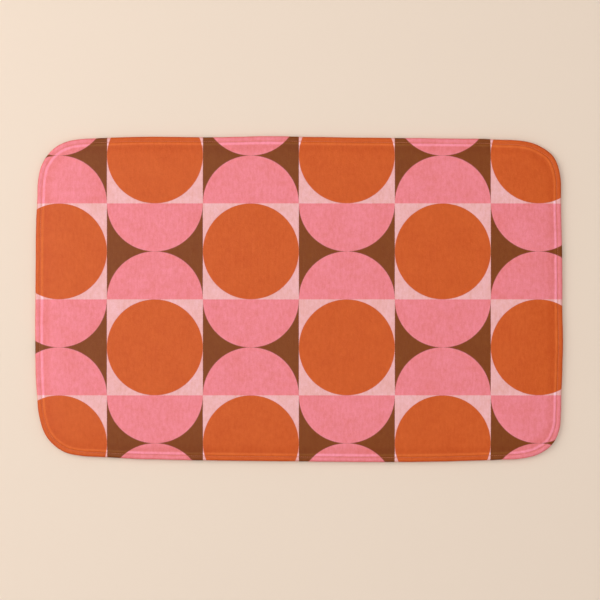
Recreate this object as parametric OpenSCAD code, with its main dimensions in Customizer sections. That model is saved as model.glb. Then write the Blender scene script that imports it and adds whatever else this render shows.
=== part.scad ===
/* [Mat] */
// Length of the mat, across X
mat_l = 864; // [700:1:1500]
// Width of the mat, across Y
mat_w = 532; // [400:1:900]
// Height of the pad above the floor
mat_h = 13; // [12:0.5:20]
// Radius of the outline's corners
corner_r = 90; // [80:1:130]

/* [Layers] */
// Thickness of the plush face cloth, pile and all
face_t = 2.2; // [1.6:0.1:3]
// Thickness of the face cloth where the topstitch pulls it down
stitched_t = 1.2; // [0.8:0.1:1.5]
// Thickness of the backing cloth
back_t = 0.5; // [0.3:0.1:0.6]
// Thickness of the grip sheet's film
film_t = 0.4; // [0.3:0.1:0.5]

/* [Grip dots] */
// Height of a dot under the film
dot_h = 0.8; // [0.7:0.1:1]
// Diameter of a dot
dot_d = 5; // [3:0.5:8]
// Distance between the rows and columns of dots
dot_pitch = 18; // [16:1:40]
// Distance from the outline to the first row of dots
dot_margin = 22; // [16:1:40]

/* [Edge] */
// Height of the outline's widest line above the floor
rim_z = 4.6; // [4.4:0.1:5]
// Height of the rolled edge outside the topstitch
roll_z = 9.2; // [9:0.1:9.6]
// Height of the cloth at the topstitch
groove_z = 8.85; // [8.4:0.05:8.9]
// Height of the cloth just inside the topstitch
shoulder_z = 9.7; // [9.3:0.1:10]
// Width of the groove that the topstitch makes
groove_w = 1.6; // [1.2:0.1:2]
// Distance over which the pad rises from the topstitch to its full height
loft = 62; // [40:1:70]
// Width of the seam allowances turned in under the foam
allowance = 10; // [9:0.5:14]

/* [Stitching] */
// Distance from the outline to the topstitch
stitch_inset = 8; // [7:0.5:9]
// Distance from one stitch to the next
stitch_pitch = 3.5; // [3:0.1:5]
// Length of thread that shows in each stitch
stitch_l = 2.9; // [2:0.1:2.9]
// Diameter of the topstitch thread
thread_d = 0.4; // [0.3:0.05:0.4]
// Diameter of the seam thread
seam_d = 0.24; // [0.16:0.02:0.24]

/* [Care label] */
// Width of the label, along the mat's edge
label_w = 32; // [20:1:50]
// Length of the label, in from the edge
label_l = 46; // [30:1:60]
// Thickness of the label
label_t = 0.25; // [0.15:0.05:0.3]
// Distance of the label from the middle of the back edge
label_x = 190; // [0:1:190]

/* [Hidden] */
$fn = 64;

// Straight parts of the outline, between the corners
side_l = mat_l - 2 * corner_r;
side_w = mat_w - 2 * corner_r;

// Heights of the layers, from the floor up
film_z = dot_h;
back_z = film_z + film_t;
back_top = back_z + back_t;
back_tail_top = back_top + back_t;
face_tail_top = back_tail_top + 1;
pad_z = mat_h - face_t;

// Edge profile, where u is the distance in from the outline: the rolled edge's crest, the place where
// the face cloth comes level with its allowance, its inside at the widest line, and the backing's fold
crest_u = stitch_inset / 2;
under_u = 2.4;
inner_u = 1.8;
fold_u = 1;
pinch_w = 3;
arc_steps = 6;
roll_steps = 5;
pad_steps = 12;

// Seam crevice, between the face cloth and the backing cloth
seam_u = 1.15;

// Distance from the outline to the label's sewn end, and the bare strip round the label
label_u = 4;
label_gap = 3;

face_colour = "sandybrown";
foam_colour = "lemonchiffon";
back_colour = "gainsboro";
grip_colour = "whitesmoke";
thread_colour = "peru";
label_colour = "white";

// Points of an elliptical arc about a centre, from angle a0 to a1
function arc_points(centre, across, up, a0, a1) = [
    for (i = [0 : arc_steps])
        let (a = a0 + (a1 - a0) * i / arc_steps)
        [centre.x + across * cos(a), centre.y + up * sin(a)]
];

// Height of the cloth's upper side, from the crest of the rolled edge inwards
function upper_z(u) =
    let (
        dip = exp(-pow((u - stitch_inset) / groove_w, 2)),
        rise = 1 - min(max(u - stitch_inset, 0) / loft, 1)
    )
    u < stitch_inset
        ? roll_z - (roll_z - groove_z) * dip
        : mat_h - (mat_h - shoulder_z) * pow(rise, 2) - (shoulder_z - groove_z) * dip;

// Thickness of the face cloth, which is thinnest at the topstitch
function cloth_t(u) = face_t - (face_t - stitched_t) * exp(-pow((u - stitch_inset) / pinch_w, 2));

// Distances in from the outline at which the upper side has its points
upper_u = [
    for (i = [1 : roll_steps]) crest_u + (stitch_inset - crest_u) * i / roll_steps,
    for (i = [1 : pad_steps]) stitch_inset + loft * pow(i / pad_steps, 1.8)
];

// Outside of the face cloth, from under the edge, over the rolled edge and the groove, to the pad
outer_side = concat(
    arc_points([under_u, rim_z], under_u, rim_z - back_tail_top, 270, 180),
    arc_points([crest_u, rim_z], crest_u, roll_z - rim_z, 180, 90),
    [for (u = upper_u) [u, upper_z(u)]],
    [[corner_r, mat_h]]
);

// Inside of the face cloth, which is the outside of the foam, along the same way
crest_inner_z = roll_z - cloth_t(crest_u);
inner_side = concat(
    arc_points([crest_u, rim_z], crest_u - inner_u, rim_z - face_tail_top, 270, 180),
    arc_points([crest_u, rim_z], crest_u - inner_u, crest_inner_z - rim_z, 180, 90),
    [for (u = upper_u) [u, upper_z(u) - cloth_t(u)]],
    [[corner_r, pad_z]]
);

function reversed(points) = [for (i = [len(points) - 1 : -1 : 0]) points[i]];

// What follows the outline: the children, drawn with the corner's centre as their origin and the
// height as their Y, are turned round the corners and drawn out along the sides
module round_outline() {
    for (sx = [0, 1], sy = [0, 1])
        mirror([sx, 0, 0])
            mirror([0, sy, 0])
                translate([side_l / 2, side_w / 2, 0])
                    rotate_extrude(angle = 90)
                        children();
    for (s = [0, 1])
        mirror([0, s, 0])
            translate([-side_l / 2, side_w / 2, 0])
                rotate([90, 0, 90])
                    linear_extrude(side_l)
                        children();
    for (s = [0, 1])
        mirror([s, 0, 0])
            translate([side_l / 2, side_w / 2, 0])
                rotate([90, 0, 0])
                    linear_extrude(side_w)
                        children();
}

// One layer of the mat: its edge profile, in [u, z], carried round the outline, and its flat middle
module layer(profile, z0, z1) {
    round_outline()
        polygon([for (p = profile) [corner_r - p.x, p.y]]);
    translate([-side_l / 2, -side_w / 2, z0])
        cube([side_l, side_w, z1 - z0]);
}

// A closed loop of thread of diameter d, u in from the outline and z above the floor
module loop(u, z, d) {
    round_outline()
        translate([corner_r - u, z])
            circle(d = d);
}

// Printed plush: over the pad, round the edge and turned in under the foam
module face_cloth() {
    color(face_colour)
        layer(
            concat(
                [[allowance, back_tail_top]],
                outer_side,
                reversed(inner_side),
                [[allowance, face_tail_top]]
            ),
            pad_z,
            mat_h
        );
}

// Memory-foam slab, pinched at the topstitch and stepped over the seam allowances
module foam_core() {
    color(foam_colour)
        layer(
            concat(
                inner_side,
                [[corner_r, back_top], [allowance, back_top], [allowance, face_tail_top]]
            ),
            back_top,
            pad_z
        );
}

// Backing cloth, folded back on itself at the edge
module backing_cloth() {
    color(back_colour)
        layer(
            concat(
                arc_points([fold_u + back_t, back_top], back_t, back_t, 270, 90),
                [
                    [allowance, back_tail_top],
                    [allowance, back_top],
                    [corner_r, back_top],
                    [corner_r, back_z]
                ]
            ),
            back_z,
            back_top
        );
}

// Would a dot here come too near the outline's rounded corner?
function past_corner(x, y) =
    let (dx = abs(x) - side_l / 2, dy = abs(y) - side_w / 2)
    dx > 0 && dy > 0 && norm([dx, dy]) > corner_r - dot_margin;

// Would a dot here lie under the label or on the bare strip round it?
function at_label(x, y) =
    abs(x - label_x) < (label_w + dot_d) / 2 + label_gap
    && y > mat_w / 2 - label_u - label_l - dot_d / 2 - label_gap;

// Soft sheet laminated under the backing cloth, with its raised grip dots
module grip_sheet() {
    film_u = fold_u + back_t;
    columns = floor((mat_l / 2 - dot_margin) / dot_pitch);
    rows = floor((mat_w / 2 - dot_margin) / dot_pitch);
    color(grip_colour)
        union() {
            layer(
                [[film_u, film_z], [corner_r, film_z], [corner_r, back_z], [film_u, back_z]],
                film_z,
                back_z
            );
            for (i = [-columns : columns], j = [-rows : rows])
                let (x = i * dot_pitch, y = j * dot_pitch)
                if (!past_corner(x, y) && !at_label(x, y))
                    translate([x, y, 0])
                        cylinder(h = dot_h, d = dot_d);
        }
}

// Thread of the seam that joins the two cloths, down in the crevice between them
module seam_thread() {
    color(thread_colour)
        loop(seam_u, back_tail_top + seam_d / 2, seam_d);
}

// One stitch's visible run of thread, along X about its middle
module stitch() {
    rotate([0, 90, 0])
        cylinder(h = stitch_l, d = thread_d, center = true, $fn = 16);
}

// Row of stitches round the mat, z above the floor, lowered by label_drop where it crosses the label
module stitch_row(z, label_drop = 0) {
    bend_r = corner_r - stitch_inset;
    along_l = round(side_l / stitch_pitch);
    along_w = round(side_w / stitch_pitch);
    round_bend = round(bend_r * PI / 2 / stitch_pitch);
    for (s = [-1, 1], i = [0 : along_l - 1])
        let (
            x = side_l * ((i + 0.5) / along_l - 0.5),
            crosses = s > 0 && abs(x - label_x) < (label_w + stitch_l) / 2
        )
        translate([x, s * (mat_w / 2 - stitch_inset), crosses ? z - label_drop : z])
            stitch();
    for (s = [-1, 1], i = [0 : along_w - 1])
        translate([s * (mat_l / 2 - stitch_inset), side_w * ((i + 0.5) / along_w - 0.5), z])
            rotate([0, 0, 90])
                stitch();
    for (sx = [0, 1], sy = [0, 1], i = [0 : round_bend - 1])
        mirror([sx, 0, 0])
            mirror([0, sy, 0])
                translate([side_l / 2, side_w / 2, z])
                    rotate([0, 0, 90 * (i + 0.5) / round_bend])
                        translate([bend_r, 0, 0])
                            rotate([0, 0, 90])
                                stitch();
}

// Upper thread of the topstitch, lying in the groove
module topstitch_needle_thread() {
    color(thread_colour)
        stitch_row(groove_z + thread_d / 2);
}

// Lower thread of the topstitch, lying on the grip sheet and over the label's sewn end
module topstitch_bobbin_thread() {
    color(thread_colour)
        stitch_row(film_z - thread_d / 2, label_t);
}

// Blank woven label, its outer end held by the topstitch
module care_label() {
    color(label_colour)
        translate([label_x - label_w / 2, mat_w / 2 - label_u - label_l, film_z - label_t])
            cube([label_w, label_l, label_t]);
}

face_cloth();
foam_core();
backing_cloth();
grip_sheet();
seam_thread();
topstitch_needle_thread();
topstitch_bobbin_thread();
care_label();
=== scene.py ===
"""Bath mat: printed plush over a foam pad, its edge rolled under and topstitched all round.

The layers are laid out in rings of vertices that follow the mat's outline. A place on a ring is
counted in stitches of the topstitch, anticlockwise from the middle of the corner at +X +Y, so the
cloth, its puckers and the threads keep step. The geometry is worked out in millimetres and turned
into metres when a mesh is made. The properties are in metres, as Blender's are.
"""

import math

import bpy
from bpy.props import FloatProperty, FloatVectorProperty, PointerProperty
from bpy.types import Operator, Panel, PropertyGroup
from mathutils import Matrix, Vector, noise


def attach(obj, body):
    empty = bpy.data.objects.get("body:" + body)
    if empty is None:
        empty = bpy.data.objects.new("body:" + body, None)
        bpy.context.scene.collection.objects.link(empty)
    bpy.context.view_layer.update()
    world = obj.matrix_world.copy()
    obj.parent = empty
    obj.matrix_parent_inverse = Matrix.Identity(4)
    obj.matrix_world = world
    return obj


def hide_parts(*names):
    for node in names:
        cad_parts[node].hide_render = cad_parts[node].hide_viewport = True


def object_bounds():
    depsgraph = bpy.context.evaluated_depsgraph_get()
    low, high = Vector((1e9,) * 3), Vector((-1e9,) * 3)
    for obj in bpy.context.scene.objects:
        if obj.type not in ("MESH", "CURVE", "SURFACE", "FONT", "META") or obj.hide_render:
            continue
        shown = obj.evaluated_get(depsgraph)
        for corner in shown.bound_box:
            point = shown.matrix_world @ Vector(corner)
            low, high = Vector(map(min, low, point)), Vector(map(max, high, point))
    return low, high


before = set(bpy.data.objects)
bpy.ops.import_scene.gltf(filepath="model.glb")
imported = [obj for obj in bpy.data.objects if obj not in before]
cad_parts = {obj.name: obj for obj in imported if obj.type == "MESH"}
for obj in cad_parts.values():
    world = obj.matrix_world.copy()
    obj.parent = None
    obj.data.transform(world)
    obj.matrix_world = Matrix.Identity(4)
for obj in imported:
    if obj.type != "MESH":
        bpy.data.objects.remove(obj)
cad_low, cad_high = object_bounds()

bl_info = {
    "name": "Bath Mat",
    "version": (1, 0, 0),
    "blender": (4, 5, 0),
    "location": "3D View > Sidebar > Bath Mat",
    "description": "Builds a padded, printed bath mat and a plain studio round it",
    "category": "Add Mesh",
}

MM = 0.001
BODY = "root"


# ---------------------------------------------------------------- settings


def length_property(name, description, default):
    return FloatProperty(name=name, description=description, default=default, min=0, unit="LENGTH")


def colour_property(name, description, default):
    return FloatVectorProperty(
        name=name, description=description, default=default, min=0, max=1, size=3, subtype="COLOR"
    )


class BathMatPlan(PropertyGroup):
    """Size and sewing of the mat"""

    length: length_property("Length", "Length of the mat, across X", cad_high[0] - cad_low[0])
    width: length_property("Width", "Width of the mat, across Y", cad_high[1] - cad_low[1])
    height: length_property("Height", "Height of the pad above the floor", cad_high[2] - cad_low[2])
    corner_radius: length_property("Corner radius", "Radius of the outline's corners", 0.090)
    stitch_inset: length_property("Stitch inset", "Distance from the outline to the topstitch", 0.008)
    stitch_pitch: length_property("Stitch pitch", "Distance from one stitch to the next", 0.0035)
    thread: length_property("Thread", "Diameter of the topstitch thread", 0.0004)
    dot_pitch: length_property("Dot pitch", "Distance between the grip dots", 0.018)
    dot_diameter: length_property("Dot diameter", "Diameter of a grip dot", 0.005)


class BathMatPrint(PropertyGroup):
    """Pattern and colours of the printed plush"""

    cell: length_property("Cell", "Side of one square of the checkerboard", 0.1564)
    orange: colour_property("Orange", "Discs on the pale squares", (0.636, 0.104, 0.0155))
    pink: colour_property("Pink", "Half-discs on the brown squares", (0.865, 0.231, 0.267))
    pale: colour_property("Pale pink", "Ground of the squares with a disc", (0.872, 0.454, 0.460))
    brown: colour_property("Brown", "Ground of the squares with half-discs", (0.220, 0.052, 0.007))


class BathMatFinish(PropertyGroup):
    """Colours of the pieces that aren't printed"""

    reverse: colour_property("Reverse", "Knitted back of the plush", (0.80, 0.62, 0.55))
    foam: colour_property("Foam", "Slow-rebound foam", (0.86, 0.78, 0.55))
    backing: colour_property("Backing", "Woven backing cloth", (0.62, 0.57, 0.49))
    grip: colour_property("Grip sheet", "Vinyl film and its dots", (0.72, 0.69, 0.62))
    thread: colour_property("Topstitch", "Upper thread of the topstitch", (0.75, 0.22, 0.08))
    bobbin: colour_property("Bobbin", "Lower thread and seam thread", (0.56, 0.46, 0.34))
    label: colour_property("Label", "Blank woven label", (0.84, 0.83, 0.80))


class BathMatStage(PropertyGroup):
    """Floor, light and camera"""

    floor: colour_property("Floor", "Plain pale floor", (0.845, 0.704, 0.586))
    key_power: FloatProperty(
        name="Key", description="Power of the soft light at the left, in watts", default=44, min=0
    )
    ceiling_power: FloatProperty(
        name="Ceiling", description="Power of the softbox overhead, in watts", default=107, min=0
    )
    card_power: FloatProperty(
        name="Card", description="Power of the card whose sheen pales the left", default=230, min=0
    )
    fill: FloatProperty(
        name="Fill", description="Brightness of the light from all round", default=0.50, min=0
    )
    view_width: length_property("View width", "Width of floor that the camera takes in", 0.983)
    view_distance: length_property("View distance", "Height of the camera", 2.4)


# ---------------------------------------------------------------- layout of the layers

# Heights of the layers above the floor, from the bottom up, within 0.2 mm of the frame's
DOT_H = 0.8
FILM_TOP = 1.2
BACK_TOP = 1.7
BACK_TAIL_TOP = 2.2
FACE_TAIL_TOP = 3.2
RIM_Z = 4.6
ROLL_Z = 9.3
GROOVE_Z = 9.05
SHOULDER_Z = 9.5

# Thickness of the plush, on the whole, at the crest of the roll and at the topstitch
PLUSH_T = 2.2
CREST_T = 2.0
STITCHED_T = 1.2

# Distances in from the outline
FOLD_U = 1.0
FILM_U = 1.5
INNER_U = 1.8
UNDER_U = 2.4
CREST_U = 4.0
ALLOWANCE = 10.0
RIDGE_U = 10.8
VALLEY_U = 16.0
RING_DEPTH = 50.0
CORE_DEPTH = 110.0

# How far the pad rises inwards, and how wide the groove and the pinch at the topstitch are
LOFT = 62.0
GROOVE_W = 1.6
PINCH_W = 3.0

# Heights of what sewing does to the surface
RIDGE = 0.25
VALLEY = 0.15
DIMPLE = 0.15
PUCKER = 0.22
CORNER_PUCKER = 0.40
SWELL = 0.35

# Room left between the foam and the cloth round it
SKIN_GAP = 0.06

# Insets of the rings under the plush, from the pad outwards to the roll
BACK_INSETS = (16.4, 14.4, 12.6, 10.9, 9.4, 8.0, 6.6, 5.2)

# How the sewn edge strays outwards from the cutting line: stitches along, millimetres. A script
# worked these out from the photograph's outline, and they were then thinned and rounded.
STRAYS = (
    # the corner at +X +Y and the long side after it
    (4, 1), (16, -5), (30, -3.5), (85, -1.5), (116, 0), (130, 1), (157, -1), (185, 0),
    # the corner at -X +Y and the short side after it
    (204, -1.5), (216, -3), (228, 1.5), (237, 0.5), (248, -4.5), (265, -2.5), (322, -1),
    # the corner at -X -Y and the long side after it
    (337, -2), (356, -6), (367, -4.5), (376, -5.5), (385, -9), (400, -7), (415, -4.5),
    (445, -2.5), (525, 0), (555, -1),
    # the corner at +X -Y and the short side after it
    (575, -3), (584, -4), (590, -2.5), (597, 2), (604, 4.5), (611, 1.5), (618, -3), (635, -1.5),
    (650, 0), (665, -1), (692, -1.5), (721, -3.5), (728, -1), (737, 4),
)
STRAY_DEPTH = 45.0


def smooth(x):
    """Eases from 0 to 1 as x does."""
    x = min(max(x, 0.0), 1.0)
    return x * x * (3 - 2 * x)


def hump(x, centre, reach):
    """A rounded hump of height 1 at centre."""
    return math.exp(-(((x - centre) / reach) ** 2))


class Outline:
    """The mat's plan: its cutting line, walked in stitches, and the strays of the sewn edge."""

    def __init__(self, plan):
        self.radius = plan.corner_radius / MM
        self.half_l = plan.length / MM / 2 - self.radius
        self.half_w = plan.width / MM / 2 - self.radius
        self.height = plan.height / MM
        self.stitch_u = plan.stitch_inset / MM
        pitch = plan.stitch_pitch / MM
        self.long_side = round(2 * self.half_l / pitch)
        self.short_side = round(2 * self.half_w / pitch)
        self.bend = round((self.radius - self.stitch_u) * math.pi / 2 / pitch)
        self.total = 2 * (self.long_side + self.short_side) + 4 * self.bend

    def quarters(self):
        """For each corner and the side that follows it: its centre, signs, side length, stitches."""
        sides = ((2 * self.half_l, self.long_side), (2 * self.half_w, self.short_side))
        for i, (sx, sy) in enumerate(((1, 1), (-1, 1), (-1, -1), (1, -1))):
            yield i, Vector((sx * self.half_l, sy * self.half_w)), *sides[i % 2]

    def at(self, k):
        """Point of the cutting line k stitches along, and the direction out of the mat there."""
        k = (k + self.bend / 2) % self.total
        for i, centre, side, stitches in self.quarters():
            turn = (i + min(k / self.bend, 1)) * math.pi / 2
            out = Vector((math.cos(turn), math.sin(turn)))
            past = k - self.bend
            if past < stitches:
                along = Vector((-out.y, out.x)) * (side * max(past, 0) / stitches)
                return centre + out * self.radius + along, out
            k = past - stitches

    def core_at(self, k):
        """Place k stitches along on the rectangle in the pad's middle, where the rings end."""
        k %= self.total
        reach = self.radius - CORE_DEPTH
        corners = [
            centre + Vector((math.copysign(1, centre.x), math.copysign(1, centre.y))) * reach
            for _, centre, _, _ in self.quarters()
        ]
        for i, _, _, stitches in self.quarters():
            span = self.bend + stitches
            if k < span:
                return corners[i].lerp(corners[(i + 1) % 4], k / span)
            k -= span

    def wander(self, k, stitches, layer):
        """Smooth noise round the edge, of about that many stitches a wave."""
        turn = 2 * math.pi * k / self.total
        reach = self.total / (2 * math.pi * stitches)
        return noise.noise(Vector((reach * math.cos(turn), reach * math.sin(turn), 7.3 * layer)))

    def stray(self, k):
        """How far the sewn edge lies outside the cutting line."""
        k %= self.total
        knots = len(STRAYS)
        for n in range(knots + 1):
            if n == knots or k <= STRAYS[n][0]:
                turns = [divmod(n + i, knots) for i in (-2, -1, 0, 1)]
                (ka, a), (kb, b), (kc, c), (kd, d) = [
                    (STRAYS[i][0] + turn * self.total, STRAYS[i][1]) for turn, i in turns
                ]
                span = kc - kb
                t = (k - kb) / span
                leave, arrive = (c - a) / (kc - ka) * span, (d - b) / (kd - kb) * span
                drift = b + leave * t + (3 * (c - b) - 2 * leave - arrive) * t**2
                drift += (2 * (b - c) + leave + arrive) * t**3
                return drift + 0.3 * self.wander(k, 11, 1) + 0.15 * self.wander(k, 4, 2)

    def corner(self, k):
        """1 in the middle of a bend, falling to 0 along the sides."""
        k = (k + self.bend / 2) % self.total
        for _, _, _, stitches in self.quarters():
            if k < self.bend + stitches:
                return hump(k, self.bend / 2, self.bend * 0.45)
            k -= self.bend + stitches

    def place(self, k, u):
        """The point u in from the sewn edge, k stitches along."""
        edge, out = self.at(k)
        point = edge - out * (min(u, RING_DEPTH) - self.stray(k) * hump(u, 0, STRAY_DEPTH))
        if u > RING_DEPTH:
            point = point.lerp(self.core_at(k), (u - RING_DEPTH) / (CORE_DEPTH - RING_DEPTH))
        return point


def pad_z(outline, u):
    """Height of the plush over the pad, u in from the outline, before any relief."""
    past = u - outline.stitch_u
    if past < 0:
        return ROLL_Z - (ROLL_Z - GROOVE_Z) * hump(past, 0, GROOVE_W)
    rise = 1 - min(past / LOFT, 1)
    shoulder = outline.height - (outline.height - SHOULDER_Z) * rise**2
    return shoulder - (SHOULDER_Z - GROOVE_Z) * hump(past, 0, GROOVE_W)


def edge_relief(outline, k, u):
    """What sewing does to the surface: a ridge over the turned-in allowances, a shallow valley
    behind it, a dimple at each needle hole, and puckers that run in from the stitches."""
    hole = (1 - math.cos(2 * math.pi * k)) / 2
    full = 0.75 + 0.5 * outline.wander(k, 6, 3)
    ridge = RIDGE * full * hump(u, RIDGE_U, 1.9) * (1 - 0.12 * hole)
    valley = VALLEY * (0.8 + 0.6 * outline.wander(k, 9, 4)) * hump(u, VALLEY_U, 3.6)
    dimple = DIMPLE * hole * hump(u, outline.stitch_u, 1.3)
    gather = PUCKER + CORNER_PUCKER * outline.corner(k)
    inward = smooth((u - 8.5) / 3) * (1 - smooth((u - VALLEY_U) / 14))
    pucker = gather * inward * outline.wander(k, 2.6, 5)
    return ridge - valley - dimple + pucker + swell(outline, k) * hump(u, CREST_U, 3)


def swell(outline, k):
    """How much fuller the roll is here than on the whole."""
    return SWELL * outline.wander(k, 8, 6)


def cloth_t(outline, u):
    """Thickness of the plush, which is thinnest at the topstitch."""
    return PLUSH_T - (PLUSH_T - STITCHED_T) * hump(u, outline.stitch_u, PINCH_W)


def surface(outline):
    """Height of the plush's upper side, with everything that shapes it."""

    def height(k, u):
        return outline.height if k is None else pad_z(outline, u) + edge_relief(outline, k, u)

    return height


def under_plush(outline, gap=0.0):
    """Height of the plush's back over the foam, less a gap."""
    top = surface(outline)

    def height(k, u):
        return top(k, u) - cloth_t(outline, u) - gap

    return height


def level(z):
    """Height of a layer that lies flat."""
    return lambda k, u: z


def roll_point(turn, centre_u, reach_u, reach_z):
    """Inset and height on the rolled edge, turned from its crest at 90 degrees to 270 below."""
    a = math.radians(turn)
    return centre_u + reach_u * math.cos(a), RIM_Z + reach_z * math.sin(a)


def inner_roll_point(turn, gap=0.0):
    """The same on the inside of the plush, less a gap."""
    reach_z = RIM_Z - FACE_TAIL_TOP if turn > 180 else ROLL_Z - CREST_T - RIM_Z
    return roll_point(turn, CREST_U, CREST_U - INNER_U - gap, reach_z - gap)


class LabelPlace:
    """Where the care label lies under the mat."""

    width, length, thickness, outer_u, middle_x = 32.0, 46.0, 0.25, 4.0, 190.0

    def __init__(self, outline):
        self.outer_y = outline.half_w + outline.radius - self.outer_u

    def near(self, x, y, gap):
        return abs(x - self.middle_x) < self.width / 2 + gap and y > self.outer_y - self.length - gap


class Shell:
    """Vertices and faces of one layer, laid ring by ring."""

    def __init__(self, outline):
        self.outline = outline
        self.points = []
        self.flat = []
        self.inset = []
        self.faces = []
        self.last = None

    def vertex(self, point, z, inset, flat=None):
        self.points.append((point.x, point.y, z))
        self.flat.append(flat if flat is not None else point)
        self.inset.append(inset)

    def ring(self, step, u, height, flat_reach=0.0):
        """Adds a ring with a vertex every step stitches, and joins it to the ring before it.
        flat_reach is how far past u the cloth would lie if it were unrolled."""
        outline = self.outline
        count = round(outline.total / step)
        start = len(self.points)
        for i in range(count):
            k = i * step
            point = outline.place(k, u)
            flat = point + outline.at(k)[1] * flat_reach if flat_reach else None
            self.vertex(point, height(k, u), u, flat)
        ring = range(start, start + count)
        if self.last is not None:
            self.join(self.last, ring)
        self.last = ring

    def join(self, a, b):
        """Faces between two rings, of which one may have twice the vertices of the other."""
        n, m = len(a), len(b)
        for i in range(min(n, m)):
            j = (i + 1) % min(n, m)
            if n == m:
                self.faces.append((a[i], b[i], b[j], a[j]))
            elif m > n:
                first, middle, after = b[2 * i], b[2 * i + 1], b[(2 * i + 2) % m]
                self.faces += [(a[i], first, middle), (a[i], middle, a[j]), (a[j], middle, after)]
            else:
                first, middle, after = a[2 * i], a[2 * i + 1], a[(2 * i + 2) % n]
                self.faces += [(first, b[i], middle), (b[i], b[j], middle), (middle, b[j], after)]

    def core(self, height, up):
        """Fills the last ring, which lies on the core's rectangle, with a grid."""
        outline = self.outline
        nx = (outline.long_side + outline.bend) // 2
        ny = (outline.short_side + outline.bend) // 2
        rim = self.last
        grid = {}
        for i in range(nx + 1):
            grid[nx - i, ny] = rim[i]
            grid[i, 0] = rim[nx + ny + i]
        for j in range(ny + 1):
            grid[0, ny - j] = rim[nx + j]
            grid[nx, j] = rim[(2 * nx + ny + j) % len(rim)]
        high = outline.core_at(0)
        for j in range(1, ny):
            for i in range(1, nx):
                grid[i, j] = len(self.points)
                point = Vector((high.x * (2 * i / nx - 1), high.y * (2 * j / ny - 1)))
                self.vertex(point, height(None, CORE_DEPTH), CORE_DEPTH)
        for j in range(ny):
            for i in range(nx):
                face = (grid[i, j], grid[i + 1, j], grid[i + 1, j + 1], grid[i, j + 1])
                self.faces.append(face if up else face[::-1])


def coarse_insets(start):
    """Distances in for the rings between the core and start, from the core outwards."""
    wide = (102, 94, 87, 80, 72, 65, 57, 50, 43, 37, 32, 27.5, 24, 21, 18.5)
    return [u for u in wide if u > start]


def new_mesh(name, points, faces):
    """A mesh from points in millimetres."""
    mesh = bpy.data.meshes.new(name)
    mesh.from_pydata([tuple(c * MM for c in p) for p in points], [], faces)
    mesh.update()
    return mesh


def add_uv(mesh, name, places):
    """Gives the mesh a UV map from one place per vertex."""
    layer = mesh.uv_layers.new(name=name)
    corners = [0] * len(mesh.loops)
    mesh.loops.foreach_get("vertex_index", corners)
    layer.uv.foreach_set("vector", [c for v in corners for c in places[v]])


def add_piece(name, mesh, slot, materials, *nodes):
    """Puts a finished mesh in the scene as a piece that stands for the CAD nodes."""
    piece = bpy.data.objects.new(name, mesh)
    bpy.context.scene.collection.objects.link(piece)
    for material in materials:
        mesh.materials.append(material)
    mesh.polygons.foreach_set("use_smooth", [True] * len(mesh.polygons))
    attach(piece, BODY)
    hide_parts(*nodes)
    return piece


def declare_sheet(piece, length, width, radius, held, rests_on):
    """Works out the area of a sheet cut as a rectangle with round corners, in millimetres, and leaves
    it unused.
    """
    area = (length * width - (4 - math.pi) * radius**2) * MM**2
    length * MM
    width * MM


# ---------------------------------------------------------------- material nodes


class Socket:
    """A shader node's output, so that shader maths reads as Python."""

    def __init__(self, finish, output):
        self.finish = finish
        self.output = output

    def maths(self, operation, *values):
        return self.finish.node("ShaderNodeMath", {"operation": operation}, values)

    def __add__(self, other):
        return self.maths("ADD", self, other)

    def __sub__(self, other):
        return self.maths("SUBTRACT", self, other)

    def __rsub__(self, other):
        return self.maths("SUBTRACT", other, self)

    def __mul__(self, other):
        return self.maths("MULTIPLY", self, other)

    def __truediv__(self, other):
        return self.maths("DIVIDE", self, other)

    def __mod__(self, other):
        return self.maths("FLOORED_MODULO", self, other)

    __radd__ = __add__
    __rmul__ = __mul__

    def floor(self):
        return self.maths("FLOOR", self)

    def sine(self):
        return self.maths("SINE", self)

    def lower(self, other):
        return self.maths("MINIMUM", self, other)

    def hypot(self, other):
        return self.maths("SQRT", self * self + other * other)


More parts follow.
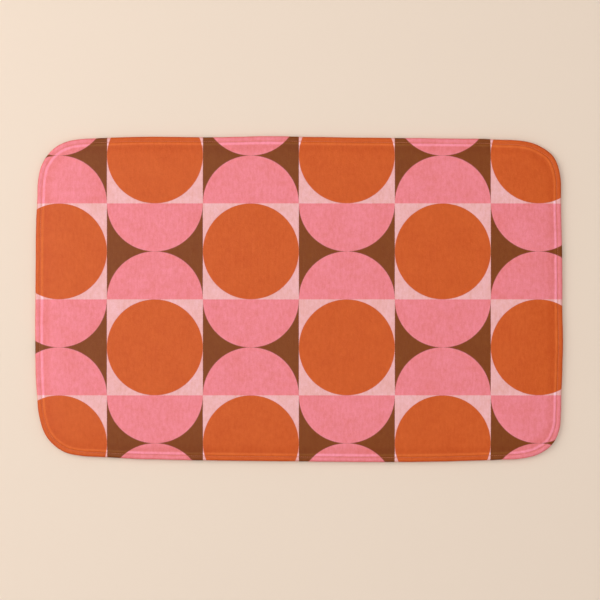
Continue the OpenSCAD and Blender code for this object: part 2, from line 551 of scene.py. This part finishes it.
class Finish:
    """A material under construction."""

    def __init__(self, name):
        self.material = bpy.data.materials.new(name)
        self.material.use_nodes = True
        self.tree = self.material.node_tree
        self.shader = self.tree.nodes["Principled BSDF"]

    def node(self, kind, settings, values, output=0):
        """Adds a node: its settings first, then its sockets by order or by name."""
        node = self.tree.nodes.new(kind)
        for key, value in settings.items():
            setattr(node, key, value)
        pairs = values.items() if isinstance(values, dict) else enumerate(values)
        for key, value in pairs:
            self.feed(node.inputs[key], value)
        return Socket(self, node.outputs[output])

    def feed(self, entry, value):
        if isinstance(value, Socket):
            self.tree.links.new(value.output, entry)
        elif entry.type == "RGBA":
            entry.default_value = (*value, 1)
        else:
            entry.default_value = value

    def shine(self, **values):
        """Sets the shader's own sockets, named with underscores."""
        for key, value in values.items():
            self.feed(self.shader.inputs[key.replace("_", " ")], value)

    def uv(self, name):
        return self.node("ShaderNodeUVMap", {"uv_map": name}, {})

    def object_coords(self):
        return self.node("ShaderNodeTexCoord", {}, {}, "Object")

    def attribute(self, name):
        return self.node("ShaderNodeAttribute", {"attribute_name": name}, {}, "Fac")

    def parts(self, vector):
        """The X, Y and Z of a vector."""
        split = self.node("ShaderNodeSeparateXYZ", {}, [vector])
        return [Socket(self, o) for o in split.output.node.outputs]

    def joined(self, x, y, z=0.0):
        return self.node("ShaderNodeCombineXYZ", {}, [x, y, z])

    def stretched(self, vector, x, y, z=1.0):
        return self.node("ShaderNodeVectorMath", {"operation": "MULTIPLY"}, [vector, (x, y, z)])

    def grain(self, vector, scale, detail=2.0, roughness=0.5):
        """Noise from 0 to 1."""
        values = {"Vector": vector, "Scale": scale, "Detail": detail, "Roughness": roughness}
        return self.node("ShaderNodeTexNoise", {}, values)

    def cells(self, vector, scale):
        """Distance from the middles of cells, from 0 up."""
        return self.node("ShaderNodeTexVoronoi", {}, {"Vector": vector, "Scale": scale}, "Distance")

    def ease(self, value, low, high):
        """0 below low, 1 above high, and smooth between."""
        values = {"Value": value, "From Min": low, "From Max": high}
        return self.node("ShaderNodeMapRange", {"interpolation_type": "SMOOTHSTEP"}, values)

    def mix(self, share, a, b, kind="MIX"):
        """Mixes two colours."""
        settings = {"data_type": "RGBA", "blend_type": kind}
        return self.node("ShaderNodeMix", settings, {0: share, 6: a, 7: b}, 2)

    def tinted(self, colour, factor):
        """A colour made darker or lighter by a factor round 1."""
        return self.mix(1.0, colour, self.joined(factor, factor, factor), "MULTIPLY")

    def deepened(self, colour, depth):
        """A colour darkened by depth, or lightened where depth is below 0, and more so in green and
        blue. It serves for the painted shade and painted sheen on the pile and for the pile's random
        unevenness.
        """
        shares = self.joined(1 - depth, 1 - 2.5 * depth, 1 - 3.8 * depth)
        return self.mix(1.0, colour, shares, "MULTIPLY")

    def bump(self, height, distance, strength=1.0):
        """A normal bent by a height, of which 1 stands for distance in metres."""
        values = {"Height": height, "Distance": distance, "Strength": strength}
        return self.node("ShaderNodeBump", {}, values)


def printed_plush(scene):
    """Short microfibre plush with the print laid on in its flat coordinates."""
    pattern = scene.bath_mat_print
    finish = Finish("printed_plush")
    flat = finish.uv("print")
    inset = finish.attribute("inset")

    # The pile blurs the print's edges by a fraction of a millimetre.
    x, y, _ = finish.parts(flat)
    fray = 0.0011
    x_here = x + (finish.grain(flat, 1300, 1) - 0.5) * fray
    y_here = y + (finish.grain(finish.stretched(flat, 1, -1), 1100, 1) - 0.5) * fray
    column = x_here / pattern.cell
    row = y_here / pattern.cell
    i = column.floor()
    j = row.floor()
    across = column - i - 0.5
    up = row - j
    pale_cell = (i + j) % 2.0
    disc = 0.5 - across.hypot(up - 0.5)
    half_discs = 0.5 - across.hypot(up).lower(across.hypot(up - 1.0))
    inside = finish.ease(disc * pale_cell + half_discs * (1 - pale_cell), -0.003, 0.003)
    ground = finish.mix(pale_cell, pattern.brown, pattern.pale)
    figure = finish.mix(pale_cell, pattern.pink, pattern.orange)
    colour = finish.mix(inside, ground, figure)

    # Painted light on the pile: over the ridge the colour is painted paler, a painted sheen; behind the
    # ridge, in the groove and round the rim it is painted deeper, a painted shade.
    broken = finish.grain(flat, 260, 2)
    # painted sheen: a paler band over the ridge
    painted_sheen = finish.ease(inset, 9.2, 10.8) * (1 - finish.ease(inset, 11.8, 15.0))
    # painted shade in the shallow valley behind the ridge
    behind = finish.ease(inset, 12.5, 15.5) * (1 - finish.ease(inset, 19.0, 29.0))
    # painted shade in the groove at the topstitch
    groove_shade = finish.ease(inset, 6.6, 7.6) * (1 - finish.ease(inset, 8.2, 9.0))
    # painted shade round the rim, on the roll's outer side
    rim = 1 - finish.ease(inset, 0.3, 2.8)
    # laid adds up the painted shade; the painted sheen is taken off it at the next line
    laid = 0.062 * behind * (0.3 + 0.7 * broken) + 0.015 * groove_shade + 0.10 * rim
    colour = finish.deepened(colour, laid - 0.12 * painted_sheen * (0.55 + 0.9 * broken))

    # Brushed tracks along Y, patches where the pile leans, and the fibres' own unevenness
    tracks = finish.grain(finish.stretched(flat, 330, 55), 1, 3, 0.6) - 0.5
    patches = finish.grain(flat, 26, 3, 0.55) - 0.5
    mottle = finish.grain(finish.stretched(flat, 1, 0.7), 170, 2, 0.6) - 0.5
    fibres = finish.grain(flat, 700, 2, 0.6) - 0.5
    colour = finish.deepened(colour, 0.10 * tracks + 0.12 * patches + 0.16 * mottle + 0.10 * fibres)

    tufts = finish.grain(finish.stretched(flat, 1, 0.6), 900, 3, 0.65)
    lay = finish.grain(finish.stretched(flat, 120, 45), 1, 2)
    height = tufts + 0.8 * lay + 0.5 * finish.grain(flat, 260, 2)
    finish.shine(
        Base_Color=colour,
        Roughness=0.58 + 0.10 * fibres + 0.06 * tracks,
        Specular_IOR_Level=0.08,
        Sheen_Weight=0.01,
        Sheen_Roughness=0.45,
        Sheen_Tint=(1.0, 0.86, 0.80),
        Normal=finish.bump(height, 0.0007, 0.8),
    )
    return finish.material


def knitted_reverse(scene):
    """Back of the plush: a fine pale knit."""
    finish = Finish("knitted_reverse")
    flat = finish.uv("print")
    x, y, _ = finish.parts(flat)
    wale = (x * 5200).sine()
    course = (y * 4200 + wale * 0.8).sine()
    loops = 0.5 + 0.25 * wale + 0.25 * course
    colour = finish.tinted(scene.bath_mat_finish.reverse, 0.88 + 0.16 * loops)
    finish.shine(Base_Color=colour, Roughness=0.85 + 0.1 * loops, Normal=finish.bump(loops, 0.0003))
    return finish.material


def foam_material(scene):
    """Slow-rebound foam: open cells of mixed sizes, its tone a little uneven."""
    finish = Finish("memory_foam")
    place = finish.object_coords()
    small = finish.ease(finish.cells(place, 900), 0.15, 0.55)
    large = finish.ease(finish.cells(place, 260), 0.1, 0.35)
    walls = small * (0.6 + 0.4 * large)
    uneven = finish.grain(place, 14, 2) - 0.5
    colour = finish.tinted(scene.bath_mat_finish.foam, 0.80 + 0.22 * walls + 0.10 * uneven)
    finish.shine(
        Base_Color=colour,
        Roughness=0.78 + 0.15 * walls,
        Subsurface_Weight=0.05,
        Normal=finish.bump(walls, 0.0006),
    )
    return finish.material


def woven(name, colour, ends, picks, roughness, floats=0.25):
    """A plain or satin weave in object coordinates: ends and picks are threads per metre."""
    finish = Finish(name)
    place = finish.object_coords()
    x, y, _ = finish.parts(place)
    warp = (x * (2 * math.pi * ends)).sine()
    weft = (y * (2 * math.pi * picks)).sine()
    over = 0.5 + 0.5 * warp * weft
    slub = finish.grain(finish.stretched(place, 900, 60, 60), 1, 2) - 0.5
    colour = finish.tinted(colour, 0.90 + 0.12 * over + floats * slub)
    finish.shine(
        Base_Color=colour,
        Roughness=roughness + 0.12 * over,
        Normal=finish.bump(over + 0.4 * slub, 0.0002),
    )
    return finish.material


def vinyl(scene):
    """Soft vinyl film, slightly uneven and satin."""
    finish = Finish("grip_vinyl")
    place = finish.object_coords()
    skin = finish.grain(place, 420, 2)
    cloud = finish.grain(place, 22, 2) - 0.5
    finish.shine(
        Base_Color=finish.tinted(scene.bath_mat_finish.grip, 0.97 + 0.08 * cloud + 0.04 * skin),
        Roughness=0.42 + 0.18 * skin,
        Normal=finish.bump(skin, 0.0001),
    )
    return finish.material


def thread_material(name, colour):
    """Spun thread of three plies, which its UV map takes round and along."""
    finish = Finish(name)
    along, around, _ = finish.parts(finish.uv("thread"))
    plies = ((along + around) * (6 * math.pi)).sine()
    fuzz = finish.grain(finish.joined(along * 9, around * 3), 1, 3) - 0.5
    tone = 0.92 + 0.16 * plies + 0.25 * fuzz
    finish.shine(
        Base_Color=finish.tinted(colour, tone),
        Roughness=0.62 + 0.12 * fuzz,
        Sheen_Weight=0.1,
        Normal=finish.bump(plies + fuzz, 0.00005),
    )
    return finish.material


def floor_material(scene):
    """Plain matt floor."""
    finish = Finish("studio_floor")
    place = finish.object_coords()
    cloud = finish.grain(place, 2.2, 2) - 0.5
    speck = finish.grain(place, 900, 1) - 0.5
    finish.shine(
        Base_Color=finish.tinted(scene.bath_mat_stage.floor, 1 + 0.015 * cloud + 0.02 * speck),
        Roughness=0.62 + 0.05 * cloud,
        Specular_IOR_Level=0.015,
    )
    return finish.material


# ---------------------------------------------------------------- pieces


class BATHMAT_OT_face_cloth(Operator):
    """Make the printed plush: over the pad, round the edge and turned in under the foam"""

    bl_idname = "bath_mat.face_cloth"
    bl_label = "Face Cloth"

    def execute(self, context):
        outline = Outline(context.scene.bath_mat_plan)
        shell = Shell(outline)
        top = surface(outline)
        under = under_plush(outline)
        shell.ring(2, CORE_DEPTH, top)
        shell.core(top, up=True)
        for u in coarse_insets(18):
            shell.ring(2, u, top)
        for u in (16.8, 15.4, 14.2, 13.2):
            shell.ring(1, u, top)
        for u in (12.3, 11.6, 10.9, 10.2, 9.6, 9.0, 8.5, 8.0, 7.5, 7.0, 6.4):
            shell.ring(0.5, u, top)
        for u in (5.7, 4.9):
            shell.ring(1, u, top)

        def rolled(z, lift):
            return lambda k, u: z + lift * swell(outline, k)

        # Round the roll, the print goes on by the length of cloth and not by the plan.
        spread = 0.0
        last = None
        sections = [(turn, CREST_U, CREST_U, ROLL_Z - RIM_Z) for turn in range(90, 181, 15)]
        sections += [(turn, UNDER_U, UNDER_U, RIM_Z - BACK_TAIL_TOP) for turn in range(198, 271, 18)]
        for turn, centre, reach_u, reach_z in sections:
            u, z = roll_point(turn, centre, reach_u, reach_z)
            if last:
                spread += math.hypot(u - last[0], z - last[1])
            last = u, z
            lift = max(math.sin(math.radians(turn)), 0)
            shell.ring(1, u, rolled(z, lift), spread - (CREST_U - u))
        for u in (4.6, 7.2, ALLOWANCE):
            spread += u - last[0]
            last = u, BACK_TAIL_TOP
            shell.ring(2, u, level(BACK_TAIL_TOP + 0.01), spread - (CREST_U - u))
        outer_faces = len(shell.faces)
        outer_points = len(shell.points)

        # Back of the cloth, from the end of the tail in under the roll and up over the foam
        for u in (ALLOWANCE, 7.2, 4.6):
            shell.ring(2, u, level(FACE_TAIL_TOP))
        for turn in range(250, 89, -20):
            u, z = inner_roll_point(turn)
            shell.ring(2, u, level(z))
        for u in (*reversed(BACK_INSETS), *reversed(coarse_insets(18))):
            shell.ring(2, u, under)
        shell.ring(2, CORE_DEPTH, under)
        shell.core(under, up=False)

        mesh = new_mesh("printed_face_cloth", shell.points, shell.faces)
        add_uv(mesh, "print", [(p.x * MM, p.y * MM) for p in shell.flat])
        self.add_bake_map(mesh, shell, outer_faces)
        inset = mesh.attributes.new("inset", "FLOAT", "POINT")
        inset.data.foreach_set("value", shell.inset)
        materials = [printed_plush(context.scene), knitted_reverse(context.scene)]
        cloth = add_piece("printed_face_cloth", mesh, "printed_plush", materials, "face_cloth")
        for face in mesh.polygons[outer_faces:]:
            face.material_index = 1
        cut = [2 * max(abs(p[i]) for p in shell.flat[:outer_points]) for i in (0, 1)]
        declare_sheet(cloth, *cut, outline.radius + ALLOWANCE, "stretched", "foam_core")
        return {"FINISHED"}

    def add_bake_map(self, mesh, shell, outer_faces):
        """Lays the outside in the upper part of the unit square, flat and to one scale, and the
        back below it, so that nothing overlaps."""
        half_l = max(abs(p.x) for p in shell.flat)
        half_w = max(abs(p.y) for p in shell.flat)
        edge = 0.003
        scale = (0.5 - edge) / half_l
        outside_middle = 1 - edge - half_w * scale
        room = outside_middle - half_w * scale
        back_middle = 0.49 * room
        back_scale = 0.47 * room / half_w
        places = []
        for face in mesh.polygons:
            outside = face.index < outer_faces
            middle, across = (outside_middle, scale) if outside else (back_middle, back_scale)
            for v in face.vertices:
                p = shell.flat[v]
                places += (0.5 + p.x * scale, middle + p.y * across)
        layer = mesh.uv_layers.new(name="OFBake")
        layer.uv.foreach_set("vector", places)


class BATHMAT_OT_foam_pad(Operator):
    """Make the foam pad, thinner towards the edge and stepped over the turned-in cloth"""

    bl_idname = "bath_mat.foam_pad"
    bl_label = "Foam Pad"

    def execute(self, context):
        outline = Outline(context.scene.bath_mat_plan)
        shell = Shell(outline)
        under = under_plush(outline, SKIN_GAP)
        shell.ring(2, CORE_DEPTH, under)
        shell.core(under, up=True)
        for u in (*coarse_insets(18), *BACK_INSETS):
            shell.ring(2, u, under)
        for turn in range(90, 271, 20):
            u, z = inner_roll_point(turn, SKIN_GAP)
            shell.ring(2, u, level(z))
        step_z = FACE_TAIL_TOP + SKIN_GAP
        low_z = BACK_TOP + SKIN_GAP
        for u, z in ((7, step_z), (10.3, step_z), (10.6, 2.5), (10.9, low_z), (14, low_z)):
            shell.ring(2, u, level(z))
        for u in (*reversed(coarse_insets(18)), CORE_DEPTH):
            shell.ring(2, u, level(low_z))
        shell.core(level(low_z), up=False)
        mesh = new_mesh("foam_pad", shell.points, shell.faces)
        pad = add_piece("foam_pad", mesh, "memory_foam", [foam_material(context.scene)], "foam_core")
        return {"FINISHED"}


class BATHMAT_OT_backing(Operator):
    """Make the backing cloth, folded back on itself at the edge"""

    bl_idname = "bath_mat.backing"
    bl_label = "Backing Cloth"

    def execute(self, context):
        outline = Outline(context.scene.bath_mat_plan)
        shell = Shell(outline)
        slack = 0.03
        body_top, body_low = BACK_TOP - slack, FILM_TOP + slack
        tail_low, tail_top = BACK_TOP + slack, BACK_TAIL_TOP - slack

        shell.ring(2, CORE_DEPTH, level(body_top))
        shell.core(level(body_top), up=True)
        for u in (*coarse_insets(20), 14, 8, 4):
            shell.ring(2, u, level(body_top))
        for turn in (270, 180, 90):
            a = math.radians(turn)
            shell.ring(2, FOLD_U + 0.9 + 0.4 * math.cos(a), level(BACK_TOP + slack * math.sin(a)))
        for u, z in ((6, tail_low), (ALLOWANCE, tail_low), (ALLOWANCE, tail_top), (6, tail_top)):
            shell.ring(2, u, level(z))
        for turn in range(90, 271, 30):
            a = math.radians(turn)
            u = FOLD_U + 0.5 + 0.5 * math.cos(a)
            shell.ring(2, u, level(BACK_TOP + (tail_top - BACK_TOP) * math.sin(a)))
        for u in (4, 8, 14, *reversed(coarse_insets(20)), CORE_DEPTH):
            shell.ring(2, u, level(body_low))
        shell.core(level(body_low), up=False)
        weave = woven("backing_weave", context.scene.bath_mat_finish.backing, 1500, 1300, 0.7)
        mesh = new_mesh("backing_fabric", shell.points, shell.faces)
        cloth = add_piece("backing_fabric", mesh, "backing", [weave], "backing_cloth")
        tail = ALLOWANCE - FOLD_U
        cut = [2 * (half + outline.radius - FOLD_U + tail) for half in (outline.half_l, outline.half_w)]
        declare_sheet(cloth, *cut, outline.radius + tail, "laid", "grip_sheet")
        return {"FINISHED"}


class BATHMAT_OT_grip_sheet(Operator):
    """Make the vinyl film and the domed grip dots under it"""

    bl_idname = "bath_mat.grip_sheet"
    bl_label = "Grip Sheet"

    margin = 22.0
    label_gap = 3.0
    sides = 12

    def execute(self, context):
        plan = context.scene.bath_mat_plan
        outline = Outline(plan)
        shell = Shell(outline)
        insets = [*coarse_insets(20), 14, 8, 4, FILM_U + 0.1]
        shell.ring(2, CORE_DEPTH, level(FILM_TOP))
        shell.core(level(FILM_TOP), up=True)
        for u in insets:
            shell.ring(2, u, level(FILM_TOP))
        shell.ring(2, FILM_U, level((FILM_TOP + DOT_H) / 2))
        for u in (*reversed(insets), CORE_DEPTH):
            shell.ring(2, u, level(DOT_H))
        shell.core(level(DOT_H), up=False)
        radius = plan.dot_diameter / MM / 2
        for x, y in self.dots(outline, plan.dot_pitch / MM, radius):
            self.dot(shell, Vector((x, y)), radius)
        mesh = new_mesh("grip_dotted_sheet", shell.points, shell.faces)
        piece = add_piece("grip_dotted_sheet", mesh, "grip", [vinyl(context.scene)], "grip_sheet")
        cut = [2 * (half + outline.radius - FILM_U) for half in (outline.half_l, outline.half_w)]
        declare_sheet(piece, *cut, outline.radius - FILM_U, "laid", "studio_floor")
        return {"FINISHED"}

    def dots(self, outline, pitch, radius):
        """Places of the dots, clear of the rounded corners and of the care label."""
        label = LabelPlace(outline)
        columns = int((outline.half_l + outline.radius - self.margin) / pitch)
        rows = int((outline.half_w + outline.radius - self.margin) / pitch)
        for i in range(-columns, columns + 1):
            for j in range(-rows, rows + 1):
                x, y = i * pitch, j * pitch
                past = Vector((max(abs(x) - outline.half_l, 0), max(abs(y) - outline.half_w, 0)))
                inside = past.length <= outline.radius - self.margin
                if inside and not label.near(x, y, radius + self.label_gap):
                    yield x, y

    def dot(self, shell, centre, radius):
        """A closed dome, its flat top sunk into the film."""
        rings = ((1.0, DOT_H + 0.05), (1.0, 0.5), (0.8, 0.14), (0.42, 0.0))
        start = len(shell.points)
        for reach, z in rings:
            for i in range(self.sides):
                a = 2 * math.pi * i / self.sides
                point = centre + Vector((math.cos(a), math.sin(a))) * radius * reach
                shell.vertex(point, z, CORE_DEPTH)
        n = self.sides
        for r in range(len(rings) - 1):
            for i in range(n):
                a, b = start + r * n + i, start + r * n + (i + 1) % n
                shell.faces.append((a, a + n, b + n, b))
        shell.faces.append(tuple(range(start, start + n)))
        last = start + (len(rings) - 1) * n
        shell.faces.append(tuple(reversed(range(last, last + n))))


def tube_mesh(name, places, radius):
    """A closed loop of thread along the places, with a UV map that runs along and around it."""
    sides = 6
    points, faces = [], []
    count = len(places)
    for n, here in enumerate(places):
        ahead, behind = places[(n + 1) % count], places[n - 1]
        along = (ahead - behind).normalized()
        side = Vector((0, 0, 1)).cross(along).normalized()
        above = along.cross(side)
        for i in range(sides):
            a = 2 * math.pi * i / sides
            points.append(here + (side * math.cos(a) + above * math.sin(a)) * radius)
    for n in range(count):
        a, b = n * sides, (n + 1) % count * sides
        for i in range(sides):
            j = (i + 1) % sides
            faces.append((a + i, b + i, b + j, a + j)[::-1])
    mesh = new_mesh(name, points, faces)
    run = 0.0
    marks = []
    for n in range(count):
        step = (places[(n + 1) % count] - places[n]).length
        marks.append((run, run + step))
        run += step
    layer = mesh.uv_layers.new(name="thread")
    layer.uv.foreach_set("vector", [
        c
        for n in range(count)
        for i in range(sides)
        for c in (
            marks[n][0], (i + 1) / sides, marks[n][1], (i + 1) / sides,
            marks[n][1], i / sides, marks[n][0], i / sides,
        )
    ])
    return mesh


def stitch_path(outline, height, dip):
    """Points of a topstitch thread: a run over each stitch, and a dip of dip into each needle hole."""
    shares = (0.0, 0.07, 0.16, 0.33, 0.5, 0.67, 0.84, 0.93)
    places = []
    for n in range(outline.total):
        for share in shares:
            k = n - 0.5 + share
            into = 1 - smooth(min(share, 1 - share) / 0.17)
            point = outline.place(k, outline.stitch_u)
            places.append(Vector((point.x, point.y, height(k) - dip * into)))
    return places


class BATHMAT_OT_topstitch(Operator):
    """Make the two threads of the topstitch"""

    bl_idname = "bath_mat.topstitch"
    bl_label = "Topstitch"

    def execute(self, context):
        plan = context.scene.bath_mat_plan
        finish = context.scene.bath_mat_finish
        outline = Outline(plan)
        top = surface(outline)
        radius = plan.thread / MM / 2
        label = LabelPlace(outline)

        # The thread sinks a little into the pile.
        def over(k):
            return top(round(k), outline.stitch_u) + radius * 0.6

        def below(k):
            point = outline.place(k, outline.stitch_u)
            drop = label.thickness if label.near(point.x, point.y, 1.5) else 0
            return DOT_H - drop - radius - 0.02

        upper = tube_mesh("topstitch_upper_thread", stitch_path(outline, over, 1.6), radius)
        lower = tube_mesh("topstitch_lower_thread", stitch_path(outline, below, -1.3), radius)
        for mesh, slot, colour, node in (
            (upper, "topstitch_thread", finish.thread, "topstitch_needle_thread"),
            (lower, "bobbin_thread", finish.bobbin, "topstitch_bobbin_thread"),
        ):
            add_piece(mesh.name, mesh, slot, [thread_material(slot, colour)], node)
        return {"FINISHED"}


class BATHMAT_OT_seam(Operator):
    """Make the thread of the inner seam, down in the crevice between the two cloths"""

    bl_idname = "bath_mat.seam"
    bl_label = "Seam Thread"

    inset, diameter = 1.15, 0.24

    def execute(self, context):
        outline = Outline(context.scene.bath_mat_plan)
        places = []
        for n in range(2 * outline.total):
            k = n / 2
            point = outline.place(k, self.inset)
            places.append(Vector((point.x, point.y, BACK_TAIL_TOP + 0.12 + 0.04 * (-1) ** n)))
        mesh = tube_mesh("inner_seam_thread", places, self.diameter / 2)
        material = thread_material("seam_thread", context.scene.bath_mat_finish.bobbin)
        add_piece("inner_seam_thread", mesh, "seam_thread", [material], "seam_thread")
        return {"FINISHED"}


class BATHMAT_OT_label(Operator):
    """Make the blank care label, its outer end caught under the topstitch"""

    bl_idname = "bath_mat.label"
    bl_label = "Care Label"

    def execute(self, context):
        outline = Outline(context.scene.bath_mat_plan)
        label = LabelPlace(outline)
        nx, ny = 16, 24
        low = DOT_H - label.thickness
        points, faces = [], []
        for side in (1, -1):
            for j in range(ny + 1):
                for i in range(nx + 1):
                    across, along = i / nx - 0.5, j / ny
                    hem = smooth((0.08 - along) * 25)
                    thick = label.thickness / 2 * (0.72 + 0.28 * hem)
                    sag = 0.02 * math.sin(across * 9) * (1 - along)
                    x = label.middle_x + across * label.width
                    y = label.outer_y - label.length * (1 - along)
                    points.append((x, y, low + label.thickness / 2 + side * thick + sag - 0.02))
        row = nx + 1
        lid = row * (ny + 1)
        for j in range(ny):
            for i in range(nx):
                a = j * row + i
                faces.append((a, a + 1, a + row + 1, a + row))
                faces.append((a + lid + row, a + lid + row + 1, a + lid + 1, a + lid))
        border = [*range(nx)] + [nx + j * row for j in range(ny)]
        border += [ny * row + i for i in range(nx, 0, -1)] + [j * row for j in range(ny, 0, -1)]
        for n, a in enumerate(border):
            b = border[(n + 1) % len(border)]
            faces.append((b, a, a + lid, b + lid))
        mesh = new_mesh("blank_care_label", points, faces)
        material = woven("label_satin", context.scene.bath_mat_finish.label, 4200, 2400, 0.45, 0.1)
        piece = add_piece("blank_care_label", mesh, "label", [material], "care_label")
        return {"FINISHED"}


# ---------------------------------------------------------------- stage


class BATHMAT_OT_stage(Operator):
    """Make the floor, the lights and the camera"""

    bl_idname = "bath_mat.stage"
    bl_label = "Stage"

    floor_size = 60.0
    key_place = Vector((-2.4, 0.8, 2.1))
    key_size = 2.6
    ceiling_place = Vector((0, 0, 4))
    ceiling_size = 9.0
    card_place = Vector((-1.9, 0.3, 2.6))
    card_size = 1.6
    sensor = 36.0
    view_middle = (0.0019, -0.0010)

    def execute(self, context):
        stage = context.scene.bath_mat_stage
        bpy.ops.object.select_all(action="DESELECT")
        bpy.ops.mesh.primitive_plane_add(size=self.floor_size, location=(0, 0, 0))
        floor = context.object
        floor.name = "studio_floor"
        floor.data.materials.append(floor_material(context.scene))

        key = self.soft_light("key", stage.key_power, self.key_place, self.key_size)
        key.data.shape = "DISK"
        key.data.color = (1.0, 0.98, 0.95)
        self.soft_light("ceiling", stage.ceiling_power, self.ceiling_place, self.ceiling_size)
        card = self.soft_light("card", stage.card_power, self.card_place, self.card_size)
        card.visible_diffuse = False
        context.scene.world = self.soft_room(stage)
        context.scene.view_settings.view_transform = "Standard"

        lens = bpy.data.cameras.new("camera")
        lens.sensor_width = self.sensor
        lens.lens = self.sensor * stage.view_distance / stage.view_width
        lens.clip_start = 0.05
        camera = bpy.data.objects.new("camera", lens)
        camera.location = (*self.view_middle, stage.view_distance)
        context.scene.collection.objects.link(camera)
        context.scene.camera = camera
        return {"FINISHED"}

    def soft_light(self, name, power, place, size):
        """A square light that faces the mat and is itself out of sight."""
        lamp = bpy.data.lights.new(name, "AREA")
        lamp.size = size
        lamp.energy = power
        light = bpy.data.objects.new(name, lamp)
        light.location = place
        light.rotation_euler = (-place).to_track_quat("-Z", "Y").to_euler()
        light.visible_camera = False
        bpy.context.scene.collection.objects.link(light)
        return light

    def soft_room(self, stage):
        """Light from all round, and past the floor a backdrop in the floor's colour."""
        world = bpy.data.worlds.new("soft_room")
        world.use_nodes = True
        nodes, links = world.node_tree.nodes, world.node_tree.links
        sky = nodes["Background"]
        sky.inputs["Color"].default_value = (1.0, 0.985, 0.96, 1)
        sky.inputs["Strength"].default_value = stage.fill
        backdrop = nodes.new("ShaderNodeBackground")
        backdrop.inputs["Color"].default_value = (*stage.floor, 1)
        backdrop.inputs["Strength"].default_value = stage.fill
        seen = nodes.new("ShaderNodeMixShader")
        links.new(nodes.new("ShaderNodeLightPath").outputs["Is Camera Ray"], seen.inputs[0])
        links.new(sky.outputs[0], seen.inputs[1])
        links.new(backdrop.outputs[0], seen.inputs[2])
        links.new(seen.outputs[0], nodes["World Output"].inputs["Surface"])
        return world


class BATHMAT_PT_panel(Panel):
    """Settings and pieces of the bath mat"""

    bl_idname = "BATHMAT_PT_panel"
    bl_label = "Bath Mat"
    bl_space_type = "VIEW_3D"
    bl_region_type = "UI"
    bl_category = "Bath Mat"

    def draw(self, context):
        for group in SETTINGS:
            settings = getattr(context.scene, group)
            box = self.layout.box()
            for name in settings.__annotations__:
                box.prop(settings, name)
        for operator in OPERATORS:
            self.layout.operator(operator.bl_idname)


SETTINGS = {
    "bath_mat_plan": BathMatPlan,
    "bath_mat_print": BathMatPrint,
    "bath_mat_finish": BathMatFinish,
    "bath_mat_stage": BathMatStage,
}
OPERATORS = (
    BATHMAT_OT_stage,
    BATHMAT_OT_face_cloth,
    BATHMAT_OT_foam_pad,
    BATHMAT_OT_backing,
    BATHMAT_OT_grip_sheet,
    BATHMAT_OT_seam,
    BATHMAT_OT_topstitch,
    BATHMAT_OT_label,
)


def register():
    for cls in (*SETTINGS.values(), *OPERATORS, BATHMAT_PT_panel):
        bpy.utils.register_class(cls)
    for name, cls in SETTINGS.items():
        setattr(bpy.types.Scene, name, PointerProperty(type=cls))


def unregister():
    for name in SETTINGS:
        delattr(bpy.types.Scene, name)
    for cls in reversed((*SETTINGS.values(), *OPERATORS, BATHMAT_PT_panel)):
        bpy.utils.unregister_class(cls)


def main():
    register()
    for operator in OPERATORS:
        group, name = operator.bl_idname.split(".")
        getattr(getattr(bpy.ops, group), name)()


if __name__ == "__main__":
    main()
